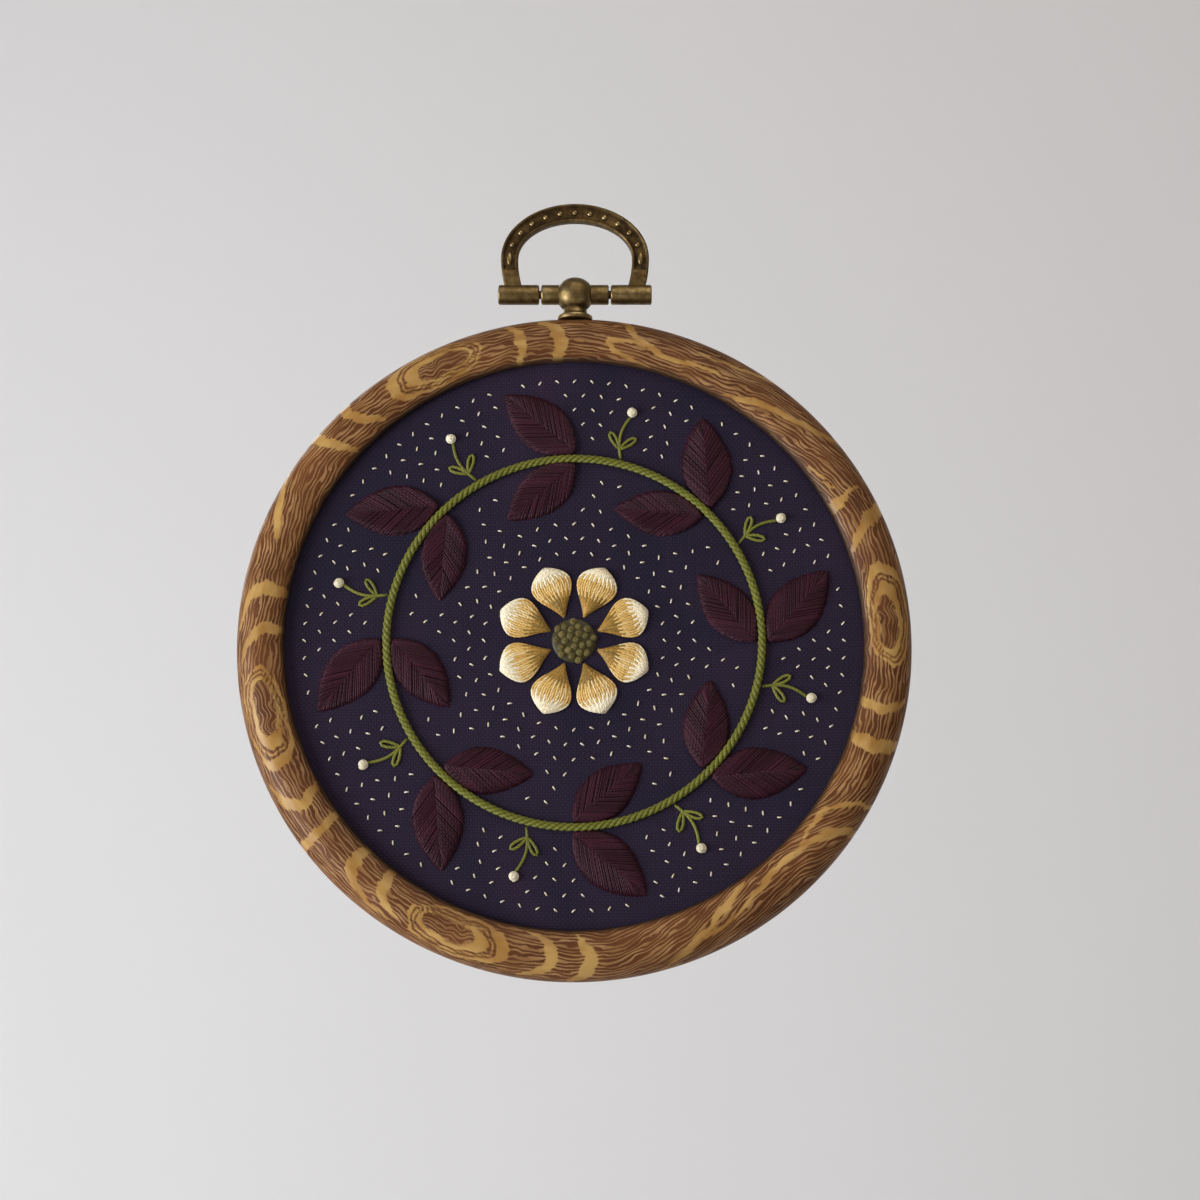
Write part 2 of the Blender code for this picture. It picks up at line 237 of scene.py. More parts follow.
def newMaterial(name, fixed):
    material = bpy.data.materials.new(name)
    material.use_nodes = True
    shader = material.node_tree.nodes["Principled BSDF"]
    setInputs(material.node_tree, shader, fixed)
    return material, material.node_tree, shader


# Outer ring: soft vinyl moulded with woodgrain, with its lip reaching over the cloth

outerRing = {
    "openingRadius": 49.3, "crestRadius": 53.2, "tubeRadius": 4.5, "lipEdge": 2.5, "lipUnder": 2.2,
    "lipMiddle": 51.0, "wallRadius": 52.6, "wallMiddle": -1.0, "back": -4.0, "backMiddle": 54.0, "edge": 0.3,
    "steps": 1560, "seatRadius": 3.5, "seatDepth": 0.5, "patternRadius": 54.0, "frontEnd": 17.0,
    "knots": [4.5, 117.2, 195.1, 249.0], "knotLevel": 5.4, "knotSquareness": 2.3, "knotPush": 1.2,
}

# A knot's nested outlines from outside in: shift along, shift across, half length, half width in mm
knotRims = [(0.0, 0.0, 9.0, 3.8), (-0.7, 0.0, 7.7, 3.35), (-0.75, 0.0, 7.3, 3.0),
            (-0.75, -0.05, 6.9, 2.65), (-0.8, -0.1, 6.5, 2.35), (-1.7, -0.35, 4.8, 1.75)]

# Pale bands that cross or follow the ring: place in degrees, level across in mm, width in mm
paleBands = [
    [(24, 11, 1.6), (23.4, 8.5, 2.2), (22.5, 6.2, 2.5), (21, 4.2, 1.7), (18, 1.6, 0.9)],
    [(28.8, 7, 0.2), (28.3, 4.5, 1), (27.6, 2.8, 1.9), (27.2, 1.2, 2.4)],
    [(30, 3.5, 0.3), (33, 2.6, 0.7), (36.5, 1.9, 0.3)],
    [(37.5, 10.5, 1.4), (38.5, 8.2, 1.1), (41.5, 6.6, 0.8), (45, 5.5, 1.1), (49, 4.5, 1), (55, 2.8, 0.9),
     (59, 1.5, 0.4)],
    [(52.5, 11, 1.1), (55, 8.5, 0.8), (61, 6.7, 0.5), (68, 6.2, 0.2)],
    [(60, 4.6, 0.3), (66, 4, 0.7), (71, 3.5, 0.8), (73.5, 3.7, 0.9), (75.5, 4.6, 0.9), (78, 5.4, 1.1),
     (80, 7.4, 1.2), (81.8, 10.8, 1.6)],
    [(75.5, 4.8, 0.7), (79, 4.9, 0.7), (84.8, 4.8, 0.6), (82.5, 3, 0.8), (79, 1.9, 0.6), (75, 1, 0.3)],
    [(96, 8.8, 1.1), (93.7, 7, 1.9), (92.6, 4.8, 2.5), (92.8, 2.5, 2.2), (93.8, 0, 1.6)],
    [(101.9, 8.6, 0.9), (100.4, 6.8, 1.6), (99.9, 4.8, 2), (100.3, 2.6, 1.2), (101.2, 0.4, 0.9)],
    [(134, 11.8, 2), (134.5, 9, 2), (134.7, 6.8, 1.8), (133.4, 4.4, 1.5), (130.6, 2.3, 0.8)],
    [(141.6, 11.8, 1.8), (141.6, 8, 1.9), (141, 5.6, 1.8), (139.6, 3, 1.3), (138.6, 1.4, 0.7)],
    [(149, 10.2, 0.6), (153, 8.6, 1.5), (156.5, 7, 1.8), (159.5, 5.8, 1), (162, 5, 0.2)],
    [(178, 9, 0.4), (173.6, 8, 1.3), (171.3, 6.6, 2.2), (170.6, 4.6, 2.6), (170.8, 2.4, 2.1),
     (171.2, 0.6, 1.4)],
    [(184, 8.4, 0.4), (180.6, 6.8, 1.1), (178.6, 5.4, 1.9), (178, 3.4, 2.1), (178.3, 1, 1.4)],
    [(206, 9.1, 0.3), (209.5, 8, 1.4), (211.7, 6.4, 2.1), (212.2, 4.6, 2.1), (211, 2.6, 1.5),
     (209.6, 1.2, 0.7)],
    [(218, 11.2, 1.5), (218, 8.5, 1.6), (217.9, 6, 1.5), (217.6, 3.6, 1.6), (216.8, 1.2, 1.2)],
    [(237, 8.8, 0.4), (231, 8, 0.8), (228.2, 6.8, 1.5), (226.2, 5, 2.3), (226, 3, 2.1), (226.4, 1, 1.4)],
    [(238, 7.4, 0.5), (235.2, 6.6, 1.1), (233.6, 5.4, 1.9), (232.9, 3.6, 2.1), (232.9, 1.2, 1.2)],
    [(260.5, 9.6, 0.3), (264.6, 8.4, 1.3), (266.2, 6.4, 2.1), (266.2, 4.4, 2.1), (265.2, 3, 1.2),
     (261.5, 1.6, 0.3)],
    [(269.6, 10.6, 1.5), (272, 8.6, 1.9), (273.2, 6.4, 2.5), (272.8, 4.6, 2.1), (271.6, 3, 1.2),
     (270.8, 1.8, 0.5)],
    [(284.5, 10.8, 0.5), (288.5, 8.2, 0.9), (291.5, 6.8, 1.5), (294.5, 5.6, 0.8), (297, 4.3, 1.1),
     (300.5, 3.2, 1.7), (304, 1.6, 0.6)],
    [(293.5, 6.8, 0.5), (300, 6, 0.6), (305, 4.3, 0.8), (311, 3.2, 1), (316, 3.5, 0.9), (320, 4.7, 1.2),
     (322.6, 5.9, 1.5), (324.2, 8, 1.3), (325, 11, 1.6)],
    [(316.5, 3.4, 0.4), (320, 2.6, 0.6), (324.5, 2.4, 1), (327, 4.2, 0.8), (329.2, 6.6, 0.7),
     (330.3, 11, 0.6)],
    [(341.6, 10, 1.2), (340.4, 7.4, 2.3), (339.8, 5.2, 2.6), (340, 3, 2.5), (340.8, 0.8, 1.4)],
    [(349.2, 9.4, 0.5), (347.6, 7.2, 1.3), (346.6, 5.4, 1.8), (346.8, 3.4, 1.9), (347.9, 1.2, 1.3)],
]

# How the grain slants round the ring: place in degrees, fall of its lines for each mm along
grainSlopes = [
    (0, 0), (22, 0.05), (32, 0.32), (56, 0.36), (66, 0.06), (76, -0.06), (90, 0), (141, 0.05), (150, 0.36),
    (162, 0.26), (170, 0), (273, 0.05), (280, 0.46), (294, 0.46), (306, 0.24), (313, -0.05), (318, -0.4),
    (326, -0.45), (333, 0), (360, 0),
]


def ringProfile(r):
    # radius and height round the section, from the lip's edge over the front to the back and inside
    backDeg = math.degrees(math.asin(r["back"] / r["tubeRadius"]))
    lipWide, e = r["crestRadius"] - r["openingRadius"], r["edge"]
    return chain(
        arc(r["crestRadius"], r["lipEdge"], lipWide, r["tubeRadius"] - r["lipEdge"], 180, 90, 16),
        arc(r["crestRadius"], 0, r["tubeRadius"], r["tubeRadius"], 90, backDeg, 36),
        [(r["backMiddle"], r["back"]), (r["wallRadius"] + e, r["back"]), (r["wallRadius"], r["back"] + e)],
        [(r["wallRadius"], r["wallMiddle"]), (r["wallRadius"], r["lipUnder"])],
        [(r["lipMiddle"], r["lipUnder"]), (r["openingRadius"] + e, r["lipUnder"])],
        [(r["openingRadius"] + 0.07, r["lipUnder"] + 0.1)])


def roundRim(x, y, halfLength, halfWidth, power):
    # roughly how far inside a squarish oval a point lies, in mm
    x, y = np.abs(x) + 1e-6, np.abs(y) + 1e-6
    size = ((x / halfLength) ** power + (y / halfWidth) ** power) ** (1 / power)
    slope = np.hypot(x ** (power - 1) / halfLength ** power, y ** (power - 1) / halfWidth ** power)
    slope *= size ** (1 - power)
    return (1 - size) / slope


def softened(points, rounds=3):
    # cuts the corners of a line of points
    for _ in range(rounds):
        near, far = points[:-1], points[1:]
        cut = np.stack([0.75 * near + 0.25 * far, 0.25 * near + 0.75 * far], 1).reshape(-1, points.shape[1])
        points = np.concatenate([points[:1], cut, points[-1:]])
    return points


def ringPattern(angle, level, r):
    # marks for the vinyl: its grain line, and how deep a point lies inside pale bands, knot lines and knots
    reach = r["patternRadius"]

    def lengthFrom(degrees):
        return ((angle - math.radians(degrees) + math.pi) % math.tau - math.pi) * reach

    band, line, heartwood = (np.full(angle.shape, -5.0) for _ in range(3))
    grain = level + 0.7 * np.sin(3 * angle + 1.0) + 0.3 * np.sin(8 * angle + 2.3)
    around = np.linspace(0, 360, 1441)
    fall = np.interp(around, *zip(*grainSlopes))
    drift = np.cumsum(fall - fall.mean()) * math.radians(0.25) * reach     # comes back to where it began
    grain = grain + np.interp(np.degrees(angle) % 360, around, drift - drift[0])
    for number, stroke in enumerate(paleBands):
        stroke = softened(np.array(stroke))
        x, y = lengthFrom(stroke[0, 0]), level
        x = x + 0.16 * np.sin(1.9 * y + number) + 0.08 * np.sin(4.3 * y + 2 * number)
        y = y + 0.1 * np.sin(1.4 * x + 3 * number)
        strokeX = np.radians(stroke[:, 0] - stroke[0, 0]) * reach
        for k in range(len(stroke) - 1):
            stepX, stepY = strokeX[k + 1] - strokeX[k], stroke[k + 1, 1] - stroke[k, 1]
            share = ((x - strokeX[k]) * stepX + (y - stroke[k, 1]) * stepY) / (stepX ** 2 + stepY ** 2)
            share = np.clip(share, 0, 1)
            away = np.hypot(x - strokeX[k] - share * stepX, y - stroke[k, 1] - share * stepY)
            half = (stroke[k, 2] + (stroke[k + 1, 2] - stroke[k, 2]) * share) / 2
            band = np.maximum(band, half - away)
    for number, place in enumerate(r["knots"]):
        x, y = lengthFrom(place), level - r["knotLevel"]
        x = x + 0.3 * np.sin(1.3 * y + number) + 0.12 * np.sin(3.1 * y + 2 * number)
        y = y + 0.16 * np.sin(0.9 * x + 1.7 * number) + 0.07 * np.sin(2.4 * x + number)
        grain = grain - r["knotPush"] * np.tanh(y / 2) * np.exp(-(x / 9) ** 2 - (y / 6) ** 2)
        rims = [roundRim(x - along, y - across, half, width, r["knotSquareness"])
                for along, across, half, width in knotRims]
        band = np.where(rims[0] > -0.4, np.minimum(band, -rims[0]), band)
        for outer, inner in ((0, 1), (2, 3), (4, 5)):
            band = np.maximum(band, np.minimum(rims[outer], -rims[inner]))
        for outer, inner in ((1, 2), (3, 4)):
            line = np.maximum(line, np.minimum(rims[outer], -rims[inner]))
        heartwood = np.maximum(heartwood, rims[5])
        grain = np.where(rims[5] > 0, 0.95 * y + 0.25 * np.sin(1.6 * x + number) + r["knotLevel"], grain)
    return grain, np.where(level > r["frontEnd"], -5.0, band), line, heartwood


def woodgrainVinyl():
    # soft PVC moulded with woodgrain and wiped with stain: thin tan ridges wander lengthwise between brown
    # hollows, the bands stay smooth and ochre, and handling leaves a soft shine
    # the lip's inner edge is darkened with painted shade and some stain
    material, tree, shader = newMaterial("wipedWoodgrainVinyl", {"IOR": 1.52, "Specular IOR Level": 0.2})
    ridgePitch = 0.68   # mm
    at = addNode(tree, "Attribute", out="Vector", attribute_name="grainAt")
    band, line, heartwood, level = (addNode(tree, "Attribute", out="Fac", attribute_name=label)
                                    for label in ("paleBand", "knotLine", "heartwood", "ringLevel"))
    grain = addNode(tree, "SeparateXYZ", {0: at}, out=2)

    def wander(along, across, detail):
        # noise drawn out along the grain, from the size of its features in mm
        scale = (1 / along, 1 / along, 1 / across)
        place = addNode(tree, "VectorMath", {0: at, 1: scale}, operation="MULTIPLY")
        return addNode(tree, "TexNoise", {"Vector": place, "Scale": 1.0, "Detail": detail})

    flow, breaks, ragged = wander(4.6, 1.9, 1.0), wander(3.2, 0.7, 0.0), wander(0.9, 0.45, 1.0)
    broad = wander(9.0, 6.0, 1.0)
    ridgeAt = addNode(tree, "Math", {0: grain, 1: 1 / ridgePitch}, operation="MULTIPLY")
    for noise, amount in ((flow, 3.0), (ragged, 0.35)):
        ridgeAt = addNode(tree, "Math", {0: noise, 1: amount, 2: ridgeAt}, operation="MULTIPLY_ADD")
    wave = addNode(tree, "Math", {0: ridgeAt, 1: 0.5}, operation="PINGPONG")
    width = addNode(tree, "MapRange", {"Value": breaks, "From Min": 0.3, "From Max": 0.7,
                                       "To Min": 0.13, "To Max": 0.38})
    above = addNode(tree, "Math", {0: wave, 1: width}, operation="SUBTRACT")
    ridge = addNode(tree, "MapRange", {"Value": above, "From Min": -0.06, "From Max": 0.12},
                    interpolation_type="SMOOTHSTEP")
    edge = addNode(tree, "Math", {0: ragged, 1: 0.5, 2: -0.25}, operation="MULTIPLY_ADD")
    bandEdge = edge
    for value, amount in ((breaks, 0.7), (wave, 0.3), (band, 1.0)):
        bandEdge = addNode(tree, "Math", {0: value, 1: amount, 2: bandEdge}, operation="MULTIPLY_ADD")
    pale = addNode(tree, "MapRange", {"Value": bandEdge, "From Min": 0.22, "From Max": 0.56},
                   interpolation_type="SMOOTHSTEP")
    lineEdge = addNode(tree, "Math", {0: line, 1: edge}, operation="ADD")
    ringLine = addNode(tree, "MapRange", interpolation_type="SMOOTHSTEP", inputs={
        "Value": lineEdge, "From Min": -0.1, "From Max": 0.1, "To Max": 0.75})
    darkHeart = addNode(tree, "MapRange", {"Value": heartwood, "From Max": 0.5, "To Max": 0.2})
    # painted shade with some stain: the front of the lip darkens towards its inner edge, where it curves down
    # into shadow over the cloth
    lipShadeAndStain = addNode(tree, "MapRange", interpolation_type="SMOOTHSTEP", inputs={
        "Value": level, "From Min": 1.9, "From Max": 0.4, "To Max": 0.92})
    brown = addNode(tree, "ValToRGB", {"Fac": broad}, stops=[(0.35, "#4E290D"), (0.65, "#613617")])
    deep = addNode(tree, "ValToRGB", {"Fac": broad}, stops=[(0.35, "#562C12"), (0.65, "#66391B")])
    tan = addNode(tree, "ValToRGB", {"Fac": flow}, stops=[(0.35, "#7B5630"), (0.65, "#987249")])
    ochre = addNode(tree, "ValToRGB", {"Fac": flow}, stops=[(0.35, "#946B34"), (0.65, "#AC884E")])
    # the near-black brown of the painted shade and stain by the lip's edge
    lipShadeAndStainBrown = addNode(tree, "ValToRGB", {"Fac": flow}, stops=[(0.3, "#20140B"), (0.7, "#2E1E10")])
    wood = brown
    layers = ((ridge, tan), (pale, ochre), (ringLine, deep), (darkHeart, brown), (lipShadeAndStain, lipShadeAndStainBrown))
    for share, colour in layers:
        wood = addNode(tree, "Mix", {0: share, 6: wood, 7: colour}, out=2, data_type="RGBA")
    height = addNode(tree, "Math", {0: ridge, 1: pale}, operation="MAXIMUM")
    height = addNode(tree, "Math", {0: height, 1: ringLine}, operation="SUBTRACT")
    bump = addNode(tree, "Bump", {"Height": height, "Strength": 0.6, "Distance": 0.08 * mm})
    rough = addNode(tree, "MapRange", {"Value": height, "To Min": 0.54, "To Max": 0.38})
    setInputs(tree, shader, {"Base Color": wood, "Roughness": rough, "Normal": bump})
    return material


def makeOuterRing():
    r = outerRing
    profile = ringProfile(r)
    level = alongLength(np.concatenate([profile, profile[:1]]))[:-1]
    ring = turned(profile, r["steps"], "h", {"ringLevel": level}, isRing=True)
    points, marks, reach = ring["points"], ring["marks"], r["patternRadius"]
    angle = np.arctan2(points[:, 1], points[:, 0])
    grain, band, line, heartwood = ringPattern(angle, marks["ringLevel"], r)
    marks.update(grainAt=pointsOf(reach * np.cos(angle), reach * np.sin(angle), grain),
                 paleBand=band, knotLine=line, heartwood=heartwood)
    seat = r["crestRadius"] + r["tubeRadius"] - r["seatDepth"]     # flat for the post's foot
    underFoot = (np.hypot(points[:, 0], points[:, 2]) < r["seatRadius"]) & (points[:, 1] > seat)
    points[underFoot, 1] = seat
    makePiece("outerRing", ring, woodgrainVinyl(), "woodgrain_vinyl", "outer_ring")


print("ring")
makeOuterRing()


# Inner ring: plain rigid vinyl behind the cloth

innerRing = {"outerRadius": 51.0, "width": 2.4, "top": 0.6, "back": -4.0, "edge": 0.5, "steps": 240}


def plainVinyl():
    # hard PVC from a polished mould: one tan colour with faint flow marks and an even half shine
    material, tree, shader = newMaterial("plainMouldedVinyl", {"IOR": 1.53})
    place = addNode(tree, "TexCoord", out="Object")
    flow = addNode(tree, "TexNoise", {"Vector": place, "Scale": 160.0, "Detail": 3.0, "Distortion": 1.2})
    tan = addNode(tree, "ValToRGB", {"Fac": flow}, stops=[(0.3, "#A98256"), (0.7, "#B9925F")])
    fine = addNode(tree, "TexNoise", {"Vector": place, "Scale": 1800.0, "Detail": 2.0})
    rough = addNode(tree, "MapRange", {"Value": flow, "To Min": 0.4, "To Max": 0.52})
    bump = addNode(tree, "Bump", {"Height": fine, "Strength": 0.15, "Distance": 0.03 * mm})
    setInputs(tree, shader, {"Base Color": tan, "Roughness": rough, "Normal": bump})
    return material


def makeInnerRing():
    r = innerRing
    inside, outside, e = r["outerRadius"] - r["width"], r["outerRadius"], r["edge"]
    profile = chain(
        arc(inside + e, r["top"] - e, e, e, 180, 90, 5), arc(outside - e, r["top"] - e, e, e, 90, 0, 5),
        arc(outside - e, r["back"] + e, e, e, 0, -90, 5), arc(inside + e, r["back"] + e, e, e, 270, 180, 5))
    shell = turned(profile, r["steps"], "h", isRing=True)
    makePiece("innerRing", shell, plainVinyl(), "plain_vinyl", "inner_ring")


makeInnerRing()


# Ground cloth: dark cotton, drawn tight over the inner ring, its cut edge between the rings

groundCloth = {
    "top": 1.9, "thickness": 0.35, "radius": 52.3, "corner": 0.8, "skirtMiddle": -1.0, "edgeLevel": -3.55,
    "steps": 480, "rowsInFront": 66, "rowsBehind": 50, "firstRadius": 0.4,
    "warpPitch": 0.44, "weftPitch": 0.50,
}


def plainWeaveCotton():
    # piece-dyed quilting cotton in plain weave: fine even dots of warp over weft, slightly uneven yarns,
    # matt and dark with a faint pale bloom of fibre ends, and painted shade between the yarns
    c = groundCloth
    material, tree, shader = newMaterial("indigoPlainWeaveCotton", {
        "Roughness": 0.86, "IOR": 1.45, "Specular IOR Level": 0.2,
        "Sheen Weight": 0.12, "Sheen Roughness": 0.5, "Sheen Tint": colourOf("#8E86B8")})
    place = addNode(tree, "TexCoord", out="Object")
    drift = addNode(tree, "TexNoise", {"Vector": place, "Scale": 90.0, "Detail": 1.0})
    yarns, slubs = [], []
    ways = ((0, c["warpPitch"], (2300.0, 60.0, 60.0)), (2, c["weftPitch"], (60.0, 60.0, 2000.0)))
    for axis, pitch, drawnOut in ways:
        across = addNode(tree, "SeparateXYZ", {0: place}, out=axis)
        turn = addNode(tree, "Math", {0: across, 1: math.pi / (pitch * mm)}, operation="MULTIPLY")
        turn = addNode(tree, "Math", {0: drift, 1: 4.0, 2: turn}, operation="MULTIPLY_ADD")
        yarns.append(addNode(tree, "Math", {0: turn}, operation="SINE"))
        stretch = addNode(tree, "Mapping", {"Vector": place, "Scale": drawnOut})
        slubs.append(addNode(tree, "TexNoise", {"Vector": stretch, "Scale": 1.0, "Detail": 2.0}))
    crossing = addNode(tree, "Math", {0: yarns[0], 1: yarns[1]}, operation="MULTIPLY")
    pillow = addNode(tree, "Math", {0: crossing}, operation="ABSOLUTE")
    pillow = addNode(tree, "Math", {0: pillow, 1: 0.6}, operation="POWER")
    mottle = addNode(tree, "TexNoise", {"Vector": place, "Scale": 34.0, "Detail": 3.0, "Distortion": 0.8})
    warp = addNode(tree, "ValToRGB", {"Fac": mottle}, stops=[(0.3, "#1B1525"), (0.7, "#271C2E")])
    weft = addNode(tree, "ValToRGB", {"Fac": mottle}, stops=[(0.3, "#201B30"), (0.7, "#2C2034")])
    over = addNode(tree, "MapRange", {"Value": crossing, "From Min": -0.3, "From Max": 0.3})
    dyed = addNode(tree, "Mix", {0: over, 6: warp, 7: weft}, out=2, data_type="RGBA")
    uneven = addNode(tree, "Math", {0: slubs[0], 1: slubs[1]}, operation="ADD")
    light = addNode(tree, "MapRange", {"Value": uneven, "From Min": 0.7, "From Max": 1.3,
                                       "To Min": 0.72, "To Max": 1.3})
    # painted shade: the colour falls off towards each yarn's edges and is darkest in the gaps between warp
    # and weft
    light = addNode(tree, "Math", {0: light, 1: pillow}, operation="MULTIPLY")
    light = addNode(tree, "MapRange", {"Value": light, "To Min": 0.55, "To Max": 1.12})
    dyed = addNode(tree, "Mix", {0: 1.0, 6: dyed, 7: light}, out=2, data_type="RGBA", blend_type="MULTIPLY")
    bump = addNode(tree, "Bump", {"Height": pillow, "Strength": 0.5, "Distance": 0.1 * mm})
    setInputs(tree, shader, {"Base Color": dyed, "Normal": bump})
    return material


def makeGroundCloth():
    c = groundCloth
    t, corner = c["thickness"], c["corner"]
    bendRadius, bendLevel = c["radius"] - corner, c["top"] - corner
    outside = chain(
        pointsOf(np.linspace(c["firstRadius"], bendRadius, c["rowsInFront"]), c["top"]),
        arc(bendRadius, bendLevel, corner, corner, 90, 0, 6),
        [(c["radius"], c["skirtMiddle"]), (c["radius"], c["edgeLevel"])])
    inside = chain(
        [(c["radius"] - t, c["edgeLevel"]), (c["radius"] - t, c["skirtMiddle"])],
        arc(bendRadius, bendLevel, corner - t, corner - t, 0, 90, 6),
        pointsOf(np.linspace(bendRadius, c["firstRadius"], c["rowsBehind"]), c["top"] - t))
    shell = turned(np.concatenate([outside, inside]), c["steps"], "h")
    x, y, level = shell["points"].T
    radius, angle = np.hypot(x, y), np.arctan2(y, x)
    wavering = smoothStep(-1.0, c["edgeLevel"], level)      # the cut edge
    level += wavering * (0.14 * np.sin(9 * angle + 1) + 0.1 * np.sin(31 * angle))
    puckered = smoothStep(49.0, 30.0, radius)               # faintly, by the stitches
    level += puckered * 0.035 * (np.sin(0.55 * x + 0.2 * y) + np.sin(0.43 * y - 0.31 * x + 1.0))
    cloth = makePiece("groundCloth", shell, plainWeaveCotton(), "indigo_cotton", "ground_cloth")


print("cloth")
makeGroundCloth()


# Stitching. Heights are counted like the cloth's top; the thread goes down through the cloth at its ends.

stitching = {
    "clothTop": 1.9, "clothBack": 1.55, "strand": 0.2, "flatness": 0.85, "backSink": 0.13,
    "stemRadius": 32.0, "pairs": 8, "leafFullest": 0.46,
}

leaves = {
    "outerLeaf": {"node": "outer_leaf", "startRadius": 33.2, "turn": 50, "length": 16.0, "width": 8.8},
    "innerLeaf": {"node": "inner_leaf", "startRadius": 30.8, "turn": 130, "length": 15.0, "width": 8.0},
}
leafStitch = {"edgePitch": 0.41, "slope": 1.25, "tipDraw": 2.6, "cross": 0.4, "rise": 0.7, "steps": 9}

petals = {
    "count": 8, "startRadius": 4.3, "length": 9.2, "width": 7.0, "fullest": 0.64, "rise": 0.8,
    "columns": 17, "rows": [(0.70, 1.0, 0.95), (0.36, 0.78, 0.55), (0.02, 0.46, 0.1)],   # from, to, shade
}

heart = {"radius": 3.55, "knots": 24, "knotRadius": 0.52, "thread": 0.19, "coils": 2.2, "dome": 0.55}
stem = {"strands": 3, "twist": 3.4, "offset": 0.36, "strand": 0.36, "lift": 0.42,
        "couching": 96, "couchReach": 0.7}
berries = {
    "ringRadius": 41.5, "turn": 31, "radius": 0.95, "thread": 0.3, "coils": 2.6,
    "stalkFrom": 32.9, "stalkTo": 40.9, "sway": 1.6,
    "budAt": 34.6, "budTurn": 42, "budLength": 3.4, "budHalf": 0.62,
}
seeds = {
    "from": 15.4, "to": 47.7, "ringGap": 2.55, "spacing": 3.1, "length": 0.64, "thread": 0.14,
    "clear": 1.15, "stemClear": 0.7, "stalkClear": 1.0, "budClear": 1.75,
}


def cottonFloss(name, colours, sheen, shine=0.3):
    # mercerised stranded cotton: soft silky shine along the strands, fine twist with painted shade in its
    # grooves, each stitch a touch lighter or darker than the next
    material, tree, shader = newMaterial(name, {
        "Roughness": 0.48, "IOR": 1.5, "Specular IOR Level": shine, "Sheen Weight": 0.06,
        "Sheen Roughness": 0.35, "Sheen Tint": colourOf(sheen)})
    twistPitch = 0.75   # mm, coarser than the real ply so that it shows
    at = addNode(tree, "Attribute", out="Vector", attribute_name="threadAt")
    shade = addNode(tree, "Attribute", out="Fac", attribute_name="shade")
    around, along, chance = (addNode(tree, "SeparateXYZ", {0: at}, out=axis) for axis in range(3))
    turn = addNode(tree, "Math", {0: along, 1: math.tau / twistPitch}, operation="MULTIPLY")
    turn = addNode(tree, "Math", {0: around, 1: math.tau * 2, 2: turn}, operation="MULTIPLY_ADD")
    twist = addNode(tree, "Math", {0: turn}, operation="SINE")
    place = addNode(tree, "TexCoord", out="Object")
    fleck = addNode(tree, "TexNoise", {"Vector": place, "Scale": 900.0, "Detail": 2.0})
    tone = addNode(tree, "Math", {0: shade, 1: 0.26}, operation="SUBTRACT")
    for value, amount in ((chance, 0.22), (fleck, 0.3)):
        tone = addNode(tree, "Math", {0: value, 1: amount, 2: tone}, operation="MULTIPLY_ADD")
    dyed = addNode(tree, "ValToRGB", {"Fac": tone}, stops=colours)
    # painted shade: the colour is darkened along the grooves of the twist
    grooveShade = addNode(tree, "MapRange", {"Value": twist, "From Min": -1.0, "To Min": 0.78, "To Max": 1.06})
    dyed = addNode(tree, "Mix", {0: 1.0, 6: dyed, 7: grooveShade}, out=2, data_type="RGBA", blend_type="MULTIPLY")
    bump = addNode(tree, "Bump", {"Height": twist, "Strength": 0.35, "Distance": 0.05 * mm})
    setInputs(tree, shader, {"Base Color": dyed, "Normal": bump})
    return material


plumFloss = cottonFloss(
    "plumStrandedCotton", [(0.0, "#1B0810"), (0.5, "#30101C"), (1.0, "#4A1C2F")], "#A87890", shine=0.16)
oliveFloss = cottonFloss(
    "oliveStrandedCotton", [(0.0, "#3C3D10"), (0.5, "#66681F"), (1.0, "#8F8E3C")], "#D8D890")
creamFloss = cottonFloss(
    "creamStrandedCotton", [(0.0, "#B0A482"), (0.5, "#DAD0B2"), (1.0, "#EEE8D4")], "#FFFFFF")
brownFloss = cottonFloss(
    "oliveBrownStrandedCotton", [(0.0, "#3A3318"), (0.5, "#5E5428"), (1.0, "#857845")], "#C8BE90")
flowerFloss = cottonFloss(
    "ochreToCreamStrandedCotton", [(0.0, "#7C6228"), (0.25, "#B5873A"), (0.55, "#D9B368"), (0.95, "#EFE4C6")],
    "#FFF4D8")


def halfWidthAt(share, width, fullest):
    power = math.log(0.5) / math.log(fullest)
    return width / 2 * np.sin(math.pi * np.clip(share, 0, 1) ** power) ** 0.85


def onRing(radius, degrees):
    turn = np.radians(degrees)
    return radius * np.cos(turn), radius * np.sin(turn)


def placed(points, x, y, degrees):
    # turns points about the upright axis, then moves them across the face
    c, s = onRing(1.0, degrees)
    return pointsOf(x + points[..., 0] * c - points[..., 1] * s, y + points[..., 0] * s + points[..., 1] * c,
                    points[..., 2])


def padding(length, width, fullest, rise, x, y, degrees):
    # what satin stitches are worked over: a low mound of the outline's shape that dips at its ends
    share = np.linspace(0.015, 0.985, 26)
    half = halfWidthAt(share, width, fullest)
    height = (rise - 0.12) * np.minimum(1, half / 1.4) ** 0.6
    height = height * smoothStep(0.0, 2.0, np.minimum(share, 1 - share) * length)
    path = placed(pointsOf(share * length, 0.0, stitching["clothTop"] - 0.02), x, y, degrees)
    return swept([path], half * 0.96, height, sides=20, low=0.08, shade=0.12)


